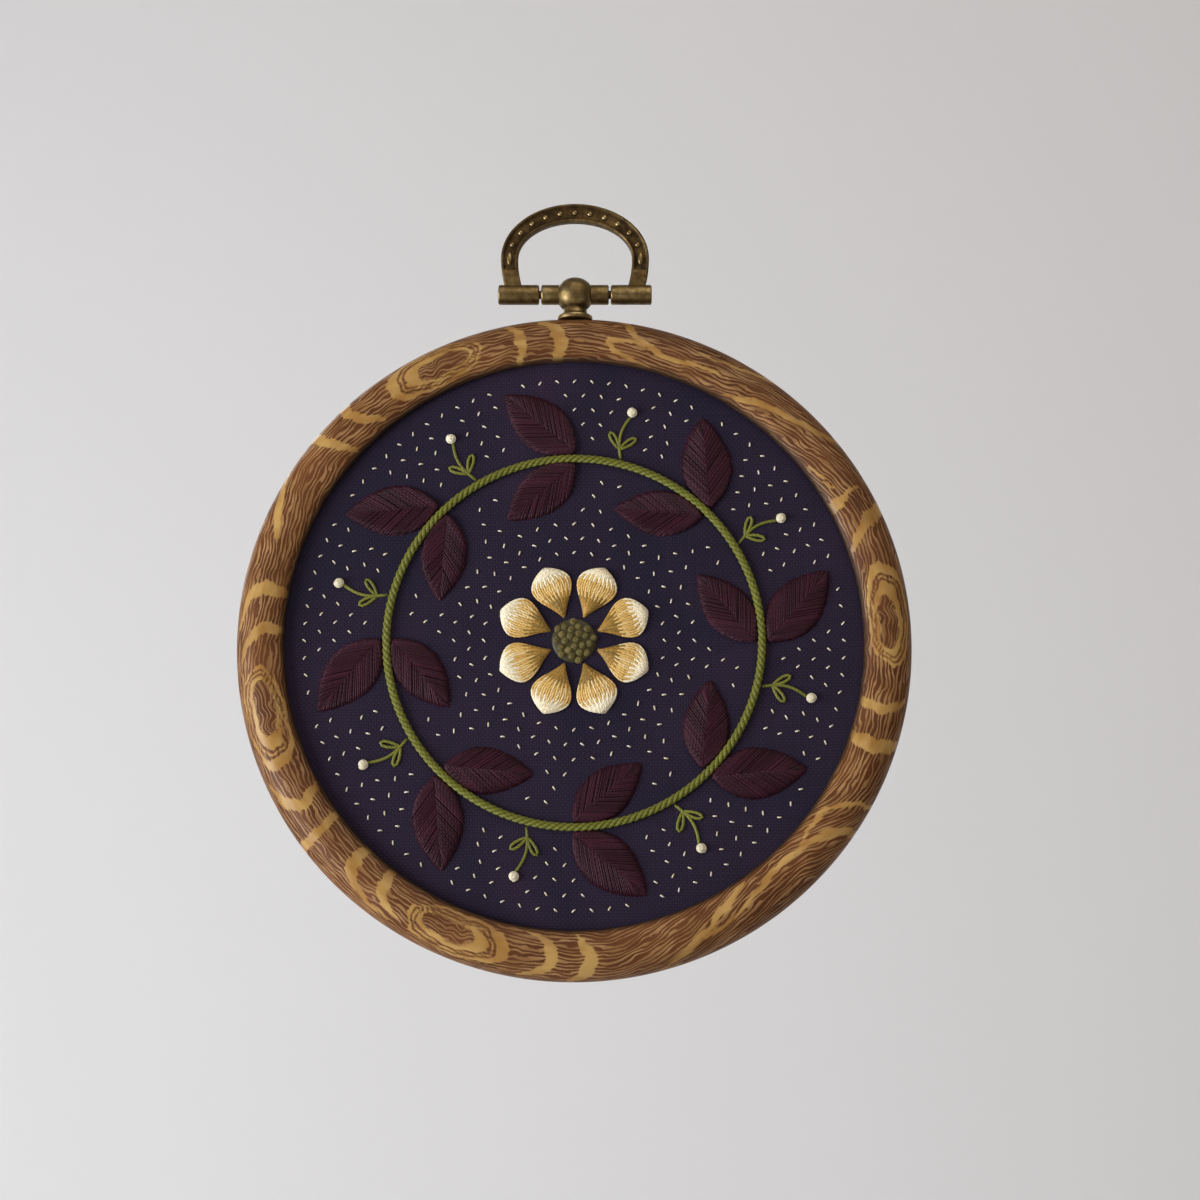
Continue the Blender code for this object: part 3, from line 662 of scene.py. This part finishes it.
def leafPaths(length, width):
    # fishbone stitches from the middle vein to the edge, evenly spaced along the edge
    s, f = stitching, leafStitch
    share = np.linspace(0.0, 1.0, 400)
    outline = pointsOf(share * length, halfWidthAt(share, width, s["leafFullest"]))
    walked = alongLength(outline)
    count = int(walked[-1] / f["edgePitch"])
    at = (np.arange(count) + 0.6) * walked[-1] / count
    paths = []
    for side in (1, -1):
        shift = at + dice.normal(0, 0.05, count) + (0.5 * f["edgePitch"] if side < 0 else 0)
        edgeX = np.interp(shift, walked, outline[:, 0])
        edgeY = np.maximum(0.03, np.interp(shift, walked, outline[:, 1]) + dice.normal(0.03, 0.05, count))
        veinX = edgeX - f["slope"] * edgeY - f["tipDraw"] * (edgeX / length) ** 4
        veinX = np.clip(veinX, 0.04 * length * np.linspace(0, 1, count), None) + dice.normal(0, 0.06, count)
        veinY = -f["cross"] * np.minimum(1, edgeY / 2.0) + dice.normal(0, 0.06, count)
        u = np.linspace(0, 1, f["steps"])[None, :]
        x = veinX[:, None] + (edgeX - veinX)[:, None] * u
        y = veinY[:, None] + (edgeY - veinY)[:, None] * u
        lift = f["rise"] * np.minimum(1, edgeY / 1.3)[:, None] ** 0.55
        lift = lift + dice.normal(0, 0.02, (count, 1))
        reach = np.hypot(edgeX - veinX, edgeY - veinY)[:, None]
        h = s["clothTop"] + lift * (1 - 0.98 * u ** 2.2) ** 0.5 - 0.3 * np.exp(-((u * reach / 0.45) ** 2))
        h = h - 0.28 * smoothStep(0.93, 1.0, u)
        paths.append(pointsOf(x, side * y, h))
    return np.concatenate(paths)


def backOf(paths, width, height, shade=0.4, sides=5):
    # the same stitches as they show behind the cloth: flat, straight and unpadded
    s = stitching
    ends = paths[:, [0, -1]]
    line = ends[:, :1] + (ends[:, 1:] - ends[:, :1]) * np.linspace(0, 1, 4)[:, None]
    line[..., 2] = s["clothBack"] - s["backSink"] + np.array([0.16, 0, 0, 0.16])
    return swept(line, width, height, sides, shade=shade)


def makeLeaves():
    s = stitching
    for name, leaf in leaves.items():
        size = leaf["length"], leaf["width"]
        for number in range(s["pairs"]):
            at = 360 * number / s["pairs"]
            place = *onRing(leaf["startRadius"], at), at + leaf["turn"]
            paths = placed(leafPaths(*size), *place)
            tone = 0.5 + 0.1 * np.sin(np.arange(len(paths)) * 0.37 + number)
            shells = [padding(*size, s["leafFullest"], leafStitch["rise"], *place),
                      swept(paths, s["strand"], s["strand"] * s["flatness"], shade=tone),
                      backOf(paths, s["strand"], s["strand"] * 0.6)]
            makePiece(f"{name}{number + 1}", joined(shells), plumFloss, "plum_thread",
                      f"{leaf['node']}_{number + 1}")


def petalPaths():
    # long and short stitches: each column of the petal in three stitches, the outer over the inner
    p, s = petals, stitching
    shares = np.linspace(-0.95, 0.95, p["columns"])
    paths, shades = [], []
    for start, end, shade in reversed(p["rows"]):
        for column, share in enumerate(shares):
            stagger = 0.06 if column % 2 else -0.05
            first = max(0.01, start + (stagger if start > 0.1 else 0) + dice.normal(0, 0.02))
            last = min(1.0, end + (stagger if end < 0.95 else 0) + dice.normal(0, 0.015))
            t = np.linspace(first, last, 7)
            half = halfWidthAt(t, p["width"], p["fullest"])
            lift = p["rise"] * np.minimum(1, half / 1.5) ** 0.5 * math.sqrt(1 - 0.9 * share ** 2)
            bow = np.sin(math.pi * (t - first) / (last - first))
            h = s["clothTop"] + lift - 0.14 * (1 - bow) + 0.05 * shade
            paths.append(pointsOf(t * p["length"], share * half, h))
            shades.append(shade + dice.normal(0, 0.04))
    return np.array(paths), np.array(shades)


def makePetals():
    p = petals
    for number in range(p["count"]):
        at = 360 * (number + 0.5) / p["count"]
        place = *onRing(p["startRadius"], at), at
        paths, shades = petalPaths()
        paths = placed(paths, *place)
        shells = [padding(p["length"], p["width"], p["fullest"], p["rise"], *place),
                  swept(paths, 0.23, 0.17, shade=shades),
                  backOf(paths, 0.22, 0.12, shade=shades * 0.9)]
        makePiece(f"petal{number + 1}", joined(shells), flowerFloss, "ochre_thread", f"petal_{number + 1}")


def knotPath(x, y, base, radius, thread, coils, start):
    # a French knot: the thread wound round itself and drawn down through its own middle
    u = np.linspace(0, 1, int(12 * coils) + 6)
    turn = start + math.tau * coils * u
    out = radius * (1 - 0.88 * u ** 1.4)
    h = base + thread * 0.8 + 1.5 * thread * smoothStep(0.15, 0.8, u) - 0.7 * thread * smoothStep(0.9, 1.0, u)
    return pointsOf(x + out * np.cos(turn), y + out * np.sin(turn), h)


def makeHeart():
    k, s = heart, stitching
    goldenAngle = 137.5
    paths = []
    for number in range(k["knots"]):
        out = k["radius"] * math.sqrt((number + 0.35) / k["knots"])
        base = s["clothTop"] + k["dome"] * (1 - (out / (k["radius"] + 0.6)) ** 2)
        x, y = onRing(out, number * goldenAngle)
        start = 6.28 * dice.random()
        paths.append(knotPath(x, y, base, k["knotRadius"], k["thread"], k["coils"], start))
    paths = np.array(paths)
    mound = turned(chain(arc(0, s["clothTop"] - 0.05, k["radius"] + 0.3, k["dome"] + 0.25, 86, 0, 10),
                         [(0.2, s["clothTop"] - 0.05)]), 40, "h")
    size = len(mound["points"])
    mound["marks"] = {"threadAt": np.zeros((size, 3)), "shade": np.full(size, 0.1)}
    dots = np.stack([paths[:, 0] - [0.4, 0.1, 0], paths[:, 0] + [0.4, 0.3, 0]], axis=1)
    shells = [mound, swept(paths, k["thread"], k["thread"], shade=0.5 + 0.2 * dice.random(len(paths))),
              backOf(dots, 0.24, 0.14, shade=0.35)]
    makePiece("flowerHeart", joined(shells), brownFloss, "olive_brown_thread", "flower_heart")


def makeStem():
    # a corded stem: strands laid round each other and couched on the cloth
    m, s = stem, stitching
    twists = round(math.tau * s["stemRadius"] / m["twist"])
    around = np.linspace(0, math.tau, twists * 12, endpoint=False)
    paths = []
    for strand in range(m["strands"]):
        turn = twists * around + math.tau * strand / m["strands"]
        radius = s["stemRadius"] + m["offset"] * np.cos(turn)
        h = s["clothTop"] + m["lift"] + m["offset"] * 0.75 * np.sin(turn)
        paths.append(pointsOf(radius * np.cos(around), radius * np.sin(around), h))
    couch = np.arange(m["couching"]) * math.tau / m["couching"]
    ends = []
    for reach in (-m["couchReach"], m["couchReach"]):
        radius = s["stemRadius"] + reach
        ends.append(pointsOf(radius * np.cos(couch), radius * np.sin(couch + 0.01 * reach), s["clothTop"]))
    shells = [swept(paths, m["strand"], m["strand"] * 0.8, sides=8, isRing=True),
              backOf(np.stack(ends, axis=1), 0.2, 0.12)]
    makePiece("stitchedStem", joined(shells), oliveFloss, "olive_thread", "stitched_stem")


def makeBerries():
    b, s = berries, stitching
    stalks, behind = [], []
    u = np.linspace(0, 1, 11)
    for number in range(s["pairs"]):
        at = 360 * number / s["pairs"] + b["turn"]
        x, y = onRing(b["ringRadius"], at)
        coilRadius, start = b["radius"] - b["thread"], math.radians(at)
        path = knotPath(x, y, s["clothTop"], coilRadius, b["thread"], b["coils"], start)
        dot = np.array([[[x - 0.5, y, 0], [x + 0.5, y + 0.3, 0]]])
        shells = [swept([path], b["thread"], b["thread"], sides=8, shade=0.55),
                  backOf(dot, 0.3, 0.16, sides=6)]
        makePiece(f"knot{number + 1}", joined(shells), creamFloss, "cream_thread", f"knot_{number + 1}")
        h = s["clothTop"] + 0.26 * np.sin(math.pi * u) ** 0.4 - 0.12
        radius = b["stalkFrom"] + (b["stalkTo"] - b["stalkFrom"]) * u
        stalks.append(pointsOf(*onRing(radius, at + b["sway"] * np.sin(math.pi * u)), h))
        behind.append(stalks[-1][[0, -1]])
        # a detached chain stitch: one loop of thread, out and back, and behind the cloth from foot to tip
        reach = b["budLength"] * (1 - np.cos(math.tau * u)) / 2
        across = b["budHalf"] * np.sin(math.tau * u) * np.sin(math.pi * u)
        for side in (1, -1):
            bud = pointsOf(reach, across, h + 0.04)
            stalks.append(placed(bud, *onRing(b["budAt"], at + 1.0), at + side * b["budTurn"]))
            behind.append(stalks[-1][[0, 5]])
    shells = [swept(stalks, 0.26, 0.22, sides=8, shade=0.55), backOf(np.array(behind), 0.26, 0.14)]
    makePiece("berryStalks", joined(shells), oliveFloss, "olive_thread")


def takenPoints():
    # points of the motifs, each with the radius that it covers, which the seed stitches keep clear of
    s, d = stitching, seeds
    share, stalk = np.linspace(0, 1, 12), np.arange(32.5, 42.5)
    beside = np.where((stalk > 35) & (stalk < 38), d["budClear"], d["stalkClear"])
    taken = [pointsOf(*onRing(s["stemRadius"], np.arange(0, 360, 1.5)), d["stemClear"])]
    for at in np.arange(s["pairs"]) * 360 / s["pairs"]:
        for leaf in leaves.values():
            half = halfWidthAt(share, leaf["width"], s["leafFullest"])
            taken.append(placed(pointsOf(share * leaf["length"], 0.0, half), *onRing(leaf["startRadius"], at),
                                at + leaf["turn"]))
        taken.append(pointsOf(*onRing(stalk, at + berries["turn"]), beside))
    return np.concatenate(taken)


def makeSeeds():
    # regular rings of small seed stitches, slanting by turns to either side
    d, s = seeds, stitching
    taken, paths = takenPoints(), []
    u = np.linspace(-0.5, 0.5, 5)
    line = pointsOf(u * d["length"], 0.0, s["clothTop"] + 0.13 - 0.9 * u ** 2)
    for row, radius in enumerate(np.arange(d["from"], d["to"], d["ringGap"])):
        count = round(math.tau * radius / d["spacing"] / s["pairs"]) * s["pairs"]
        for number in range(count):
            at = 360 * (number + 0.5 * (row % 2)) / count
            x, y = onRing(radius, at)
            if (np.hypot(taken[:, 0] - x, taken[:, 1] - y) < taken[:, 2] + d["clear"]).any():
                continue
            slant = 45 if (number + row) % 2 else -45
            paths.append(placed(line, x, y, at + slant + dice.normal(0, 5)))
    paths = np.array(paths)
    shells = [swept(paths, d["thread"], d["thread"], shade=0.5 + 0.2 * dice.random(len(paths))),
              backOf(paths, d["thread"], 0.1)]
    makePiece("seedStitches", joined(shells), creamFloss, "cream_thread")


print("stitching")
makeLeaves()
makePetals()
makeHeart()
makeStem()
makeBerries()
makeSeeds()


# Hanger: cast and plated brass, counted from the hinge pin's axis

hanger = {
    "pinRadius": 0.75, "bore": 1.05, "knuckleRadius": 1.75, "knuckleInner": 6.3, "knuckleOuter": 13.5,
    "barHalf": 5.95, "barrelRound": 0.3, "pinShort": 0.1,
    "ballRadius": 3.35, "ballTop": 3.05, "ballLow": 3.3, "neck": 2.05, "foot": 3.1, "footThick": 0.8,
    "footLevel": -4.9, "shank": 1.2, "shankLength": 3.8,
}

bail = {
    "shoulder": 6.6, "outerX": 13.05, "innerX": 10.05, "top": 16.7, "innerTop": 13.4, "drawIn": 1.15,
    "thickness": 1.8, "edge": 0.25, "border": 0.45, "depth": 0.3, "channelEnd": 4.4,
    "beadRadius": 0.5, "beadHeight": 0.4, "beadPitch": 2.65, "beadsEachSide": 6, "dropStretch": 2.5,
}


def antiqueBrass():
    # plated brass, blackened and rubbed back: brown-black in the channel and corners, olive brown on
    # the flats, and warm bright metal on the edges and bead tops
    material, tree, shader = newMaterial("antiqueBrass", {"Metallic": 1.0})
    rubbed = addNode(tree, "Attribute", out="Fac", attribute_name="rubbed")
    place = addNode(tree, "TexCoord", out="Object")
    patch = addNode(tree, "TexNoise", {"Vector": place, "Scale": 900.0, "Detail": 4.0, "Roughness": 0.6})
    grime = addNode(tree, "TexNoise", {"Vector": place, "Scale": 260.0, "Detail": 3.0})
    tone = addNode(tree, "Math", {0: rubbed, 1: 0.82}, operation="SUBTRACT")
    for value, amount in ((patch, 0.9), (grime, 0.7)):
        tone = addNode(tree, "Math", {0: value, 1: amount, 2: tone}, operation="MULTIPLY_ADD")
    metal = addNode(tree, "ValToRGB", {"Fac": tone},
                    stops=[(0.0, "#33271A"), (0.35, "#57452A"), (0.6, "#73603D"), (1.0, "#AC966A")])
    rough = addNode(tree, "MapRange", {"Value": tone, "To Min": 0.64, "To Max": 0.32})
    bump = addNode(tree, "Bump", {"Height": patch, "Strength": 0.45, "Distance": 0.08 * mm})
    setInputs(tree, shader, {"Base Color": metal, "Roughness": rough, "Normal": bump})
    return material


brass = antiqueBrass()


def makeHanger(name, shell, replaced, body):
    makePiece(name, shell, brass, "antique_brass", replaced, body=body, level=pinLevel, crease=50)


def barrel(halfLength, rounding, radius, bore, steps=72):
    # a tube along x with rounded rims
    profile = chain(
        arc(radius - rounding, halfLength - rounding, rounding, rounding, 90, 0, 5),
        arc(radius - rounding, rounding - halfLength, rounding, rounding, 0, -90, 5),
        [(bore + 0.1, -halfLength), (bore, -halfLength + 0.1)],
        [(bore, halfLength - 0.1), (bore + 0.1, halfLength)])
    level = np.abs(profile[:, 1])
    rim = smoothStep(halfLength - 0.6, halfLength - 0.1, level) * (profile[:, 0] > bore + 0.2)
    rubbed = np.where(profile[:, 0] > bore + 0.2, 0.36 + 0.3 * rim, 0.0)
    return turned(profile, steps, "x", {"rubbed": rubbed}, isRing=True)


def bailLine(halfX, topY, legSteps=24, archSteps=110):
    # from the right leg's foot, over the arch, to the left one's
    b = bail
    y = np.linspace(0, b["shoulder"], legSteps, endpoint=False)
    leg = pointsOf(halfX - b["drawIn"] * (1 - y / b["shoulder"]) ** 2, y)
    arch = arc(0, b["shoulder"], halfX, topY - b["shoulder"], 0, 180, archSteps)
    return np.concatenate([leg, arch, leg[::-1] * [-1, 1]])


def bandSection(half, sunk):
    # one face's half of the band's section, from its outer side over the front to its inner side, in
    # distance across and height, with how far each point is rubbed bright
    b = bail
    t, e = b["thickness"] / 2, b["edge"]
    lip = half - b["border"]
    floor = t - b["depth"] * sunk
    corner, field = 0.4 - 0.25 * sunk, 0.4 - 0.15 * sunk
    right = [(half, 0.3, 0.35), (half, t - e, 0.4), (half - 0.3 * e, t - 0.3 * e, 0.5), (half - e, t, 0.45),
             (lip + 0.08, t, 0.4), (lip, t - 0.06 * sunk, 0.4), (lip - 0.1, floor + 0.08 * sunk, corner),
             (lip - 0.22, floor, corner), (0.3, floor, field)]
    left = [(-x, h, rub) for x, h, rub in reversed(right)]
    return np.array(right + left)


def bailBand():
    b = bail
    outer, inner = bailLine(b["outerX"], b["top"]), bailLine(b["innerX"], b["innerTop"])
    middle, across = (outer + inner) / 2, outer - inner
    half = np.linalg.norm(across, axis=1) / 2
    across = across / (2 * half[:, None])
    rows, rubbed = [], []
    for point, way, halfWide in zip(middle, across, half):
        sunk = smoothStep(b["channelEnd"] - 0.1, b["channelEnd"] + 0.25, point[1])
        section = bandSection(halfWide, sunk)
        section = np.concatenate([section, section[::-1] * [1, -1, 1]])
        rows.append(np.concatenate([point + section[:, :1] * way, section[:, 1:2]], axis=1))
        rubbed.append(section[:, 2])
    rows = np.array(rows)
    steps, size = rows.shape[:2]
    points = np.concatenate([rows.reshape(-1, 3), rows[[0, -1]].mean(axis=1)])
    rim = np.arange(size)
    tris = np.concatenate([fan(steps * size, rim), fan(steps * size + 1, rim[::-1] + (steps - 1) * size)])
    rubbed = np.append(np.array(rubbed).ravel(), [0.3, 0.3])
    return closedShell(points, gridFaces(steps, size), tris, {"rubbed": rubbed})


def beadShells():
    b = bail
    path = bailLine((b["outerX"] + b["innerX"]) / 2, (b["top"] + b["innerTop"]) / 2)
    walked = alongLength(path)
    dome = arc(0, 0, b["beadRadius"], b["beadHeight"], 88, -60, 9)
    shells = []
    for number in range(-b["beadsEachSide"], b["beadsEachSide"] + 1):
        place = walked[-1] / 2 + number * b["beadPitch"]
        x, y = (np.interp(place, walked, path[:, k]) for k in (0, 1))
        stretch = b["dropStretch"] if abs(number) == b["beadsEachSide"] else 1.0
        for side in (1, -1):
            ball = turned(dome, 24, "h", {"rubbed": 0.3 + 0.5 * smoothStep(0.0, 0.3, dome[:, 1])})
            points = ball["points"] * [1, stretch, side] + [x, y, side * (b["thickness"] / 2 - b["depth"])]
            shells.append(closedShell(points, ball["quads"], ball["tris"], ball["marks"]))
    return shells


def makeBail():
    h = hanger
    half, middle = (h["knuckleOuter"] - h["knuckleInner"]) / 2, (h["knuckleOuter"] + h["knuckleInner"]) / 2
    shells = [bailBand(), *beadShells()]
    for side in (1, -1):
        knuckle = barrel(half, h["barrelRound"], h["knuckleRadius"], h["bore"])
        knuckle["points"] = knuckle["points"] + [side * middle, 0, 0]
        shells.append(knuckle)
    makeHanger("hangerBail", joined(shells), "hanger_bail", body="bail")


def makePost():
    h = hanger
    neckDeg = math.degrees(math.acos(h["neck"] / h["ballRadius"]))
    neckLevel = -h["ballLow"] * math.sin(math.radians(neckDeg))
    rim = h["footLevel"] + h["footThick"]
    profile = chain(
        arc(0, 0, h["ballRadius"], h["ballTop"], 88, 0, 20),
        arc(0, 0, h["ballRadius"], h["ballLow"], 0, -neckDeg, 10),
        arc(h["foot"] - 0.12, neckLevel, h["foot"] - 0.12 - h["neck"], neckLevel - rim, 180, 270, 8),
        arc(h["foot"] - 0.12, rim - 0.12, 0.12, 0.12, 90, 0, 3),
        [(h["foot"], h["footLevel"] + 0.08), (h["foot"] - 0.08, h["footLevel"])],
        [(h["shank"], h["footLevel"]), (h["shank"], h["footLevel"] - h["shankLength"])])
    radius, level = profile[:, 0], profile[:, 1]
    inNeck, onRim = (np.exp(-((level - at) / wide) ** 2) for at, wide in ((neckLevel, 0.35), (rim, 0.15)))
    rubbed = 0.7 - 0.5 * inNeck + 0.4 * onRim
    post = turned(profile, 96, "y", {"rubbed": np.where(radius < 1.3, 0.45, rubbed)})
    bar = barrel(h["barHalf"], h["barrelRound"], h["knuckleRadius"], h["bore"])
    nearBall = np.exp(-((np.abs(bar["points"][:, 0]) - 2.3) / 0.5) ** 2)
    bar["marks"]["rubbed"] = bar["marks"]["rubbed"] - 0.4 * nearBall
    makeHanger("hangerPost", joined([post, bar]), "hanger_post", body="hoop")


def makePin():
    h = hanger
    half, e = h["knuckleOuter"] - h["pinShort"], 0.25
    profile = chain([(0.2, half)], arc(h["pinRadius"] - e, half - e, e, e, 90, 0, 5),
                    arc(h["pinRadius"] - e, e - half, e, e, 0, -90, 5), [(0.2, -half)])
    pin = turned(profile, 48, "x", {"rubbed": np.full(len(profile), 0.35)})
    makeHanger("hingePin", pin, "hinge_pin", body="bail")


print("hanger")
makeBail()
makePost()
makePin()


# Stage: pale floor and backdrop, a soft window from the left, and the camera in front and a little below

stage = {"front": -1.6, "floor": -0.42, "wall": 0.62, "top": 1.8, "half": 2.2, "bend": 0.25,
         "colour": "#E3E2E2"}   # sizes in metres
camera = {"lens": 80.0, "azimuth": 0.1, "elevation": -12.2, "distance": 456.4,
          "photoSize": 1200, "centre": (574.25, 642.65)}   # the hoop's centre in the photo's pixels


def makeBackdrop():
    s = stage
    material, *_ = newMaterial("paleMattPaper", {"Base Color": colourOf(s["colour"]), "Roughness": 0.9})
    bend = arc(s["wall"] - s["bend"], s["floor"] + s["bend"], s["bend"], s["bend"], -90, 0, 16)
    line = chain([(s["front"], s["floor"])], bend, [(s["wall"], s["top"])])
    points = [(x, y, z) for y, z in line for x in (-s["half"], s["half"])]
    faces = [(2 * i, 2 * i + 1, 2 * i + 3, 2 * i + 2) for i in range(len(line) - 1)]
    mesh = bpy.data.meshes.new("backdrop")
    mesh.from_pydata(points, [], faces)
    mesh.polygons.foreach_set("use_smooth", [True] * len(faces))
    mesh.materials.append(material)
    backdrop = bpy.data.objects.new("backdrop", mesh)
    bpy.context.scene.collection.objects.link(backdrop)


def addLight(name, place, target, size, power, colour):
    data = bpy.data.lights.new(name, "AREA")
    data.size, data.energy, data.color = size, power, colourOf(colour)[:3]
    light = bpy.data.objects.new(name, data)
    light.location = place
    light.rotation_euler = (Vector(target) - light.location).to_track_quat("-Z", "Y").to_euler()
    bpy.context.scene.collection.objects.link(light)


def makeCamera():
    c = camera
    azimuth, elevation = math.radians(c["azimuth"]), math.radians(c["elevation"])
    back = Vector((math.sin(azimuth) * math.cos(elevation), -math.cos(azimuth) * math.cos(elevation),
                   math.sin(elevation)))
    right = Vector((math.cos(azimuth), math.sin(azimuth), 0))
    up = back.cross(right)
    data = bpy.data.cameras.new("camera")
    data.lens = c["lens"]
    perPixel = data.sensor_width / data.lens / c["photoSize"] * c["distance"] * mm
    middle = c["photoSize"] / 2
    aim = Vector((0, 0, hoopLevel * mm))
    aim += right * (middle - c["centre"][0]) * perPixel - up * (middle - c["centre"][1]) * perPixel
    view = bpy.data.objects.new("camera", data)
    view.rotation_euler = back.to_track_quat("Z", "Y").to_euler()
    view.location = aim + back * c["distance"] * mm
    bpy.context.scene.collection.objects.link(view)
    bpy.context.scene.camera = view


print("stage")
makeBackdrop()
hoopCentre = (0, 0, hoopLevel * mm)
addLight("window", (-0.8, -0.38, -0.24), hoopCentre, 0.5, 11.6, "#F4F9FF")
addLight("overhead", (0.15, -0.7, 0.62), hoopCentre, 0.9, 4.4, "#FFF7EE")
addLight("behind", (-0.34, 0.55, 0.3), (-0.34, 0, 0.3), 0.35, 1.1, "#F7FAFF")   # for the back
makeCamera()

world = bpy.data.worlds.new("room")
world.use_nodes = True
setInputs(world.node_tree, world.node_tree.nodes["Background"],
          {"Color": colourOf("#F1E9E3"), "Strength": 0.25})
bpy.context.scene.world = world
bpy.context.scene.view_settings.view_transform = "Standard"
